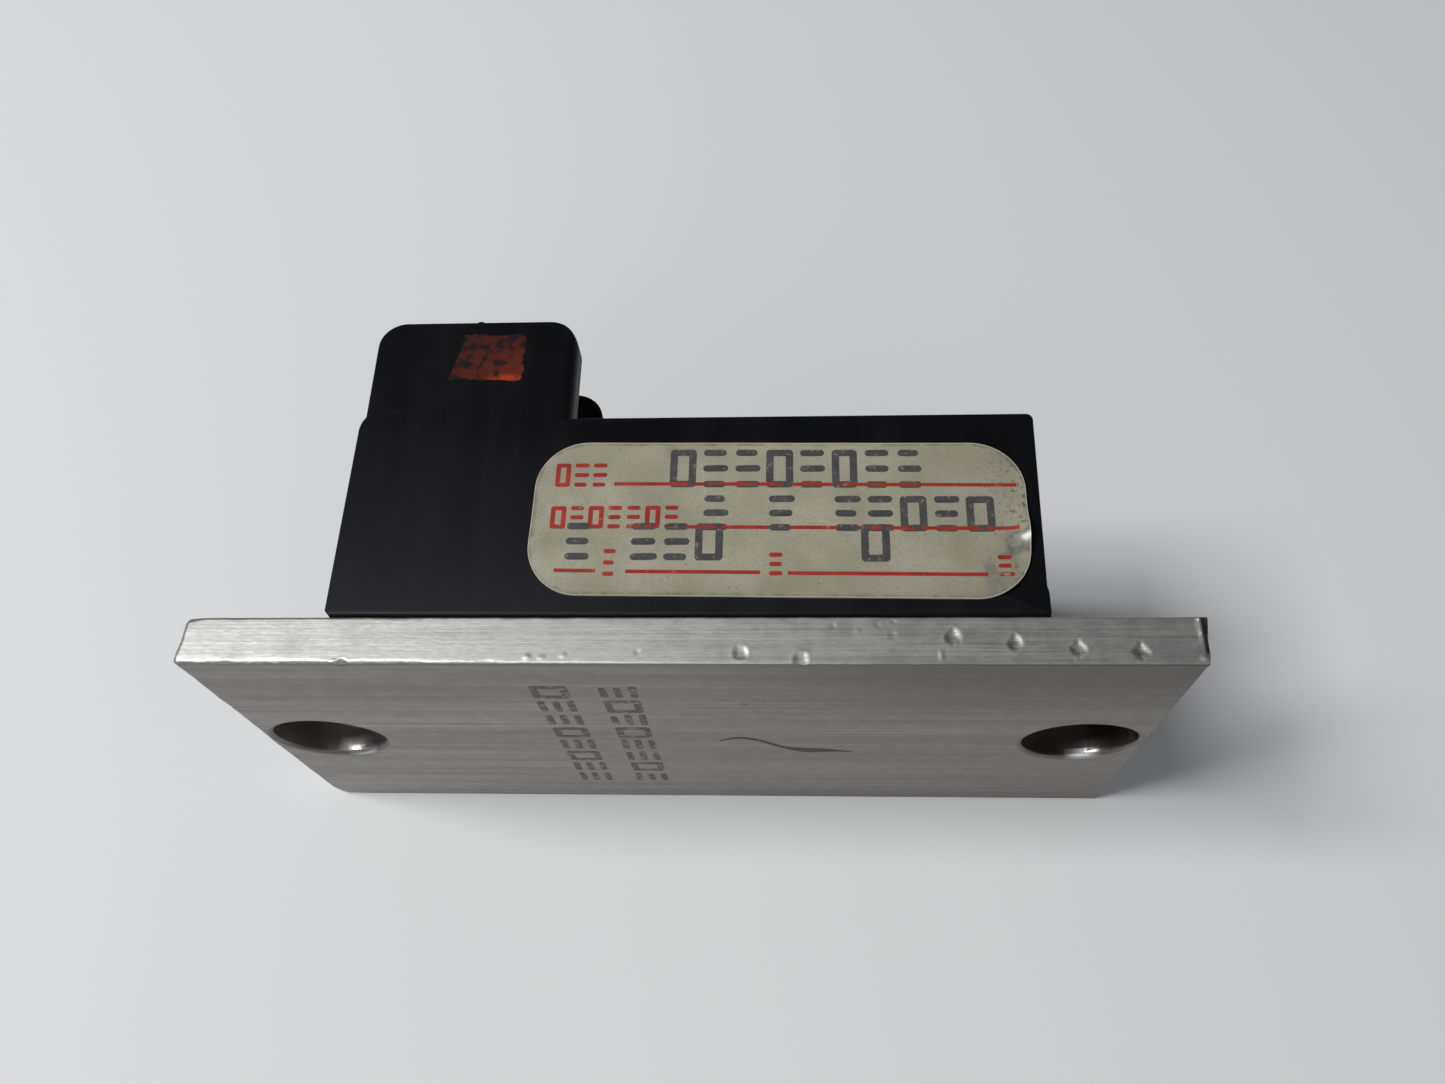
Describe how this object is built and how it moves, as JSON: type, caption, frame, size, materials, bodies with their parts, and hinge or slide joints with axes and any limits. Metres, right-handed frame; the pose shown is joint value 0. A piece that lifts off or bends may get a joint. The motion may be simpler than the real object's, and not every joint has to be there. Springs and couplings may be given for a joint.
{
  "type": "solid state relay",
  "caption": "Panel-mount solid state relay: black moulded housing with a barriered screw-terminal block on a drilled aluminium heat-transfer plate.",
  "frame": {"origin": "centre of the plate's mounting face", "axes": "+X along the plate with the terminals at the -X end, +Y from the mounting face to the terminals, +Z out of the labelled side; the relay lies on its other long side"},
  "size_m": [0.0636, 0.0258, 0.0319],
  "materials": {
    "aluminium": "saw-cut and brushed, worn edges",
    "black_plastic": "satin moulded thermoset",
    "label_paper": "aged varnished label stock",
    "nickel_plate": "dull nickel plating",
    "zinc_plate": "dull zinc plating",
    "brass": "turned",
    "laminate": "glass-epoxy board",
    "ceramic": "fired alumina",
    "black_epoxy": "moulded epoxy",
    "film_case": "dipped",
    "resistor_body": "lacquered",
    "resin": "cast resin"
  },
  "bodies": {
    "root": {"base_plate": "aluminium", "housing": "black_plastic", "rating_label": "label_paper", "circuit_board": "laminate", "power_triac": "black_epoxy", "ceramic_insulator": "ceramic", "trigger_thyristor": "black_epoxy", "opto_coupler": "black_epoxy", "bridge_rectifier": "black_epoxy", "snubber_capacitor": "film_case", "input_resistor": "resistor_body", "input_diode": "black_epoxy", "gate_resistor": "resistor_body", "snubber_resistor": "resistor_body", "potting_block": "resin", "terminal_plate_1": "nickel_plate", "thread_insert_1": "brass", "terminal_plate_2": "nickel_plate", "thread_insert_2": "brass", "terminal_plate_3": "nickel_plate", "thread_insert_3": "brass", "terminal_plate_4": "nickel_plate", "thread_insert_4": "brass"},
    "clamp_1": {"clamp_plate_1": "zinc_plate"},
    "screw_1": {"terminal_screw_1": "zinc_plate"},
    "clamp_2": {"clamp_plate_2": "zinc_plate"},
    "screw_2": {"terminal_screw_2": "zinc_plate"},
    "clamp_3": {"clamp_plate_3": "zinc_plate"},
    "screw_3": {"terminal_screw_3": "zinc_plate"},
    "clamp_4": {"clamp_plate_4": "zinc_plate"},
    "screw_4": {"terminal_screw_4": "zinc_plate"}
  },
  "joints": [
    {"name": "clamp_lift_1", "type": "slide", "parent": "root", "child": "clamp_1", "axis": [0, 1, 0], "range_m": [0, 0.0019]},
    {"name": "screw_turn_1", "type": "hinge", "parent": "clamp_1", "child": "screw_1", "pos_m": [-0.0151, 0.01905, 0.01061], "axis": [0, 1, 0], "range_deg": [0, 1080]},
    {"name": "clamp_lift_2", "type": "slide", "parent": "root", "child": "clamp_2", "axis": [0, 1, 0], "range_m": [0, 0.0019]},
    {"name": "screw_turn_2", "type": "hinge", "parent": "clamp_2", "child": "screw_2", "pos_m": [-0.0151, 0.01905, 0.00354], "axis": [0, 1, 0], "range_deg": [0, 1080]},
    {"name": "clamp_lift_3", "type": "slide", "parent": "root", "child": "clamp_3", "axis": [0, 1, 0], "range_m": [0, 0.0019]},
    {"name": "screw_turn_3", "type": "hinge", "parent": "clamp_3", "child": "screw_3", "pos_m": [-0.0151, 0.01905, -0.00354], "axis": [0, 1, 0], "range_deg": [0, 1080]},
    {"name": "clamp_lift_4", "type": "slide", "parent": "root", "child": "clamp_4", "axis": [0, 1, 0], "range_m": [0, 0.0019]},
    {"name": "screw_turn_4", "type": "hinge", "parent": "clamp_4", "child": "screw_4", "pos_m": [-0.0151, 0.01905, -0.01061], "axis": [0, 1, 0], "range_deg": [0, 1080]}
  ],
  "couplings": [
    {"joint": "screw_turn_1", "follows": "clamp_lift_1", "rad_per_m": 9894.8},
    {"joint": "screw_turn_2", "follows": "clamp_lift_2", "rad_per_m": 9894.8},
    {"joint": "screw_turn_3", "follows": "clamp_lift_3", "rad_per_m": 9894.8},
    {"joint": "screw_turn_4", "follows": "clamp_lift_4", "rad_per_m": 9894.8}
  ]
}
